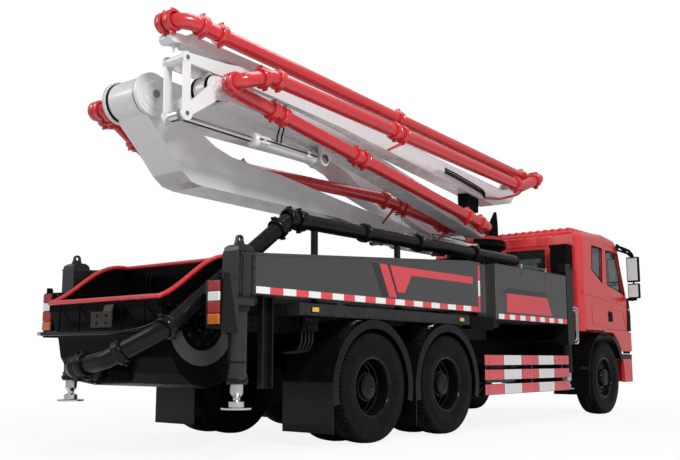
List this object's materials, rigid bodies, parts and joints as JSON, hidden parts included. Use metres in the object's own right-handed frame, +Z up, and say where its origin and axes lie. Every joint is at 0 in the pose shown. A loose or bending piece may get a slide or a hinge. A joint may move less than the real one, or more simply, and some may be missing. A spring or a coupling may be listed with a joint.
{
  "type": "concrete pump truck",
  "caption": "Concrete pump truck with tilting cab, folding placing boom with steel pipeline, rear hopper with grate, swinging and sliding stabilisers on jacks.",
  "frame": {"origin": "on the ground, at the middle of the length and width", "axes": "+X forward, +Y to the left, +Z up"},
  "size_m": [9.574, 2.94, 3.7366],
  "materials": {
    "chassis_black": "satin",
    "tyre": "matt",
    "engine_grey": "rough cast",
    "tank_grey": "satin",
    "guard_red": "satin",
    "boom_white": "satin",
    "bright_steel": "brushed",
    "pipe_red": "satin",
    "cab_red": "gloss",
    "panel_grey": "satin",
    "window": "clear",
    "cabin_black": "matt",
    "lamp_lens": "clear",
    "hopper_black": "satin"
  },
  "bodies": {
    "chassis": {"chassis_frame": "chassis_black", "axles": "chassis_black", "engine_block": "engine_grey", "tanks": "tank_grey", "rear_arches": "chassis_black", "front_arches": "chassis_black", "deck": "chassis_black", "side_boxes": "panel_grey", "side_guards": "guard_red", "front_tube": "chassis_black", "pedestal": "panel_grey", "bumper": "guard_red", "headlamps": "lamp_lens", "hopper": "hopper_black", "hopper_rim": "pipe_red", "delivery_pipe": "chassis_black", "pump_cylinders": "chassis_black"},
    "knuckle_l": {"knuckle_l": "chassis_black"},
    "knuckle_r": {"knuckle_r": "chassis_black"},
    "wheel_front_l": {"wheel_front_l": "tyre"},
    "wheel_front_r": {"wheel_front_r": "tyre"},
    "wheel_middle_l": {"wheel_middle_l": "tyre"},
    "wheel_middle_r": {"wheel_middle_r": "tyre"},
    "wheel_rear_l": {"wheel_rear_l": "tyre"},
    "wheel_rear_r": {"wheel_rear_r": "tyre"},
    "rear_stabiliser_l": {"rear_stabiliser_l": "panel_grey"},
    "rear_stabiliser_r": {"rear_stabiliser_r": "panel_grey"},
    "jack_rear_l": {"jack_rear_l": "bright_steel"},
    "jack_rear_r": {"jack_rear_r": "bright_steel"},
    "front_stabiliser_l": {"front_stabiliser_l": "panel_grey"},
    "front_stabiliser_r": {"front_stabiliser_r": "panel_grey"},
    "jack_front_l": {"jack_front_l": "bright_steel"},
    "jack_front_r": {"jack_front_r": "bright_steel"},
    "turret": {"turret": "pipe_red", "turret_pipe": "pipe_red"},
    "boom_1": {"arm_1": "boom_white", "pipe_1": "pipe_red"},
    "boom_2": {"arm_2": "boom_white", "pipe_2": "pipe_red"},
    "boom_3": {"arm_3": "boom_white", "pipe_3": "pipe_red"},
    "boom_4": {"arm_4": "boom_white", "pipe_4": "pipe_red", "knee_plates": "boom_white"},
    "boom_5": {"arm_5": "boom_white", "pipe_5": "pipe_red"},
    "lift_barrels": {"lift_barrels": "boom_white"},
    "lift_rods": {"lift_rods": "bright_steel"},
    "knee_barrel": {"knee_barrel": "boom_white"},
    "knee_rod": {"knee_rod": "bright_steel"},
    "cab": {"cab_shell": "cab_red", "cab_glass": "window", "seats": "cabin_black", "dashboard": "cabin_black", "cab_trim": "cabin_black"},
    "door_l": {"door_l": "cab_red", "door_glass_l": "window"},
    "door_r": {"door_r": "cab_red", "door_glass_r": "window"},
    "hopper_grate": {"hopper_grate": "hopper_black"}
  },
  "joints": [
    {"name": "steer_l", "type": "hinge", "parent": "chassis", "child": "knuckle_l", "pos_m": [3.6521, 0.85, 0.535], "axis": [0, 0, 1], "range_deg": [-35, 35]},
    {"name": "steer_r", "type": "hinge", "parent": "chassis", "child": "knuckle_r", "pos_m": [3.6521, -0.85, 0.535], "axis": [0, 0, 1], "range_deg": [-35, 35]},
    {"name": "wheel_front_l_spin", "type": "hinge", "parent": "knuckle_l", "child": "wheel_front_l", "pos_m": [3.6521, 1, 0.535], "axis": [0, 1, 0], "continuous": true},
    {"name": "wheel_front_r_spin", "type": "hinge", "parent": "knuckle_r", "child": "wheel_front_r", "pos_m": [3.6521, -1, 0.535], "axis": [0, 1, 0], "continuous": true},
    {"name": "wheel_middle_l_spin", "type": "hinge", "parent": "chassis", "child": "wheel_middle_l", "pos_m": [-0.7729, 1, 0.535], "axis": [0, 1, 0], "continuous": true},
    {"name": "wheel_middle_r_spin", "type": "hinge", "parent": "chassis", "child": "wheel_middle_r", "pos_m": [-0.7729, -1, 0.535], "axis": [0, 1, 0], "continuous": true},
    {"name": "wheel_rear_l_spin", "type": "hinge", "parent": "chassis", "child": "wheel_rear_l", "pos_m": [-2.1229, 1, 0.535], "axis": [0, 1, 0], "continuous": true},
    {"name": "wheel_rear_r_spin", "type": "hinge", "parent": "chassis", "child": "wheel_rear_r", "pos_m": [-2.1229, -1, 0.535], "axis": [0, 1, 0], "continuous": true},
    {"name": "rear_stabiliser_l_swing", "type": "hinge", "parent": "chassis", "child": "rear_stabiliser_l", "pos_m": [0.0771, 1.135, 1.5], "axis": [0, 0, -1], "range_deg": [0, 60]},
    {"name": "rear_stabiliser_r_swing", "type": "hinge", "parent": "chassis", "child": "rear_stabiliser_r", "pos_m": [0.0771, -1.135, 1.5], "axis": [0, 0, 1], "range_deg": [0, 60]},
    {"name": "jack_rear_l_slide", "type": "slide", "parent": "rear_stabiliser_l", "child": "jack_rear_l", "axis": [0, 0, -1], "range_m": [0, 0.38]},
    {"name": "jack_rear_r_slide", "type": "slide", "parent": "rear_stabiliser_r", "child": "jack_rear_r", "axis": [0, 0, -1], "range_m": [0, 0.38]},
    {"name": "front_stabiliser_l_slide", "type": "slide", "parent": "chassis", "child": "front_stabiliser_l", "axis": [0, 1, 0], "range_m": [0, 0.7]},
    {"name": "front_stabiliser_r_slide", "type": "slide", "parent": "chassis", "child": "front_stabiliser_r", "axis": [0, -1, 0], "range_m": [0, 0.7]},
    {"name": "jack_front_l_slide", "type": "slide", "parent": "front_stabiliser_l", "child": "jack_front_l", "axis": [0, 0, -1], "range_m": [0, 0.38]},
    {"name": "jack_front_r_slide", "type": "slide", "parent": "front_stabiliser_r", "child": "jack_front_r", "axis": [0, 0, -1], "range_m": [0, 0.38]},
    {"name": "slew", "type": "hinge", "parent": "chassis", "child": "turret", "pos_m": [1.9771, 0, 2.48], "axis": [0, 0, 1], "range_deg": [-95, 80]},
    {"name": "boom_1_lift", "type": "hinge", "parent": "turret", "child": "boom_1", "pos_m": [1.6571, 0, 2.64], "axis": [0, 1, 0], "range_deg": [0, 85]},
    {"name": "boom_2_unfold", "type": "hinge", "parent": "boom_1", "child": "boom_2", "pos_m": [-4.1229, 0, 3.17], "axis": [0, -1, 0], "range_deg": [0, 180]},
    {"name": "boom_3_unfold", "type": "hinge", "parent": "boom_2", "child": "boom_3", "pos_m": [0.8521, 0, 2.48], "axis": [0, 1, 0], "range_deg": [0, 180]},
    {"name": "boom_4_unfold", "type": "hinge", "parent": "boom_3", "child": "boom_4", "pos_m": [-3.8429, 0, 3.2], "axis": [0, -1, 0], "range_deg": [0, 180]},
    {"name": "boom_5_unfold", "type": "hinge", "parent": "boom_4", "child": "boom_5", "pos_m": [1.9821, 0, 3.3], "axis": [0, 1, 0], "range_deg": [0, 180]},
    {"name": "lift_barrels_turn", "type": "hinge", "parent": "turret", "child": "lift_barrels", "pos_m": [1.4371, 0, 2.318], "axis": [0, 1, 0], "range_deg": [-1, 83.82]},
    {"name": "lift_rods_slide", "type": "slide", "parent": "lift_barrels", "child": "lift_rods", "axis": [-1, 0, 0.0014], "range_m": [-0.001, 0.5249]},
    {"name": "knee_barrel_turn", "type": "hinge", "parent": "boom_3", "child": "knee_barrel", "pos_m": [-2.3089, -0.66, 2.831], "axis": [0, -1, 0], "range_deg": [0, 11.5]},
    {"name": "knee_rod_slide", "type": "slide", "parent": "knee_barrel", "child": "knee_rod", "axis": [0.9997, 0, -0.0259], "range_m": [0, 0.476]},
    {"name": "cab_tilt", "type": "hinge", "parent": "chassis", "child": "cab", "pos_m": [4.6771, 0, 0.9], "axis": [0, 1, 0], "range_deg": [0, 50]},
    {"name": "door_l_open", "type": "hinge", "parent": "cab", "child": "door_l", "pos_m": [4.5201, 1.25, 1.9], "axis": [0, 0, -1], "range_deg": [0, 70]},
    {"name": "door_r_open", "type": "hinge", "parent": "cab", "child": "door_r", "pos_m": [4.5201, -1.25, 1.9], "axis": [0, 0, 1], "range_deg": [0, 70]},
    {"name": "hopper_grate_lift", "type": "hinge", "parent": "chassis", "child": "hopper_grate", "pos_m": [-3.6179, 0, 1.26015], "axis": [0, 1, 0], "range_deg": [0, 80]}
  ],
  "couplings": [
    {"joint": "steer_r", "follows": "steer_l", "ratio": 1},
    {"joint": "boom_3_unfold", "follows": "boom_2_unfold", "ratio": 1},
    {"joint": "boom_5_unfold", "follows": "boom_4_unfold", "ratio": 1},
    {"joint": "lift_barrels_turn", "follows": "boom_1_lift", "ratio": 0.97433},
    {"joint": "lift_rods_slide", "follows": "boom_1_lift", "m_per_rad": 0.35249},
    {"joint": "knee_barrel_turn", "follows": "boom_4_unfold", "ratio": 0.06333},
    {"joint": "knee_rod_slide", "follows": "boom_4_unfold", "m_per_rad": 0.1512}
  ]
}
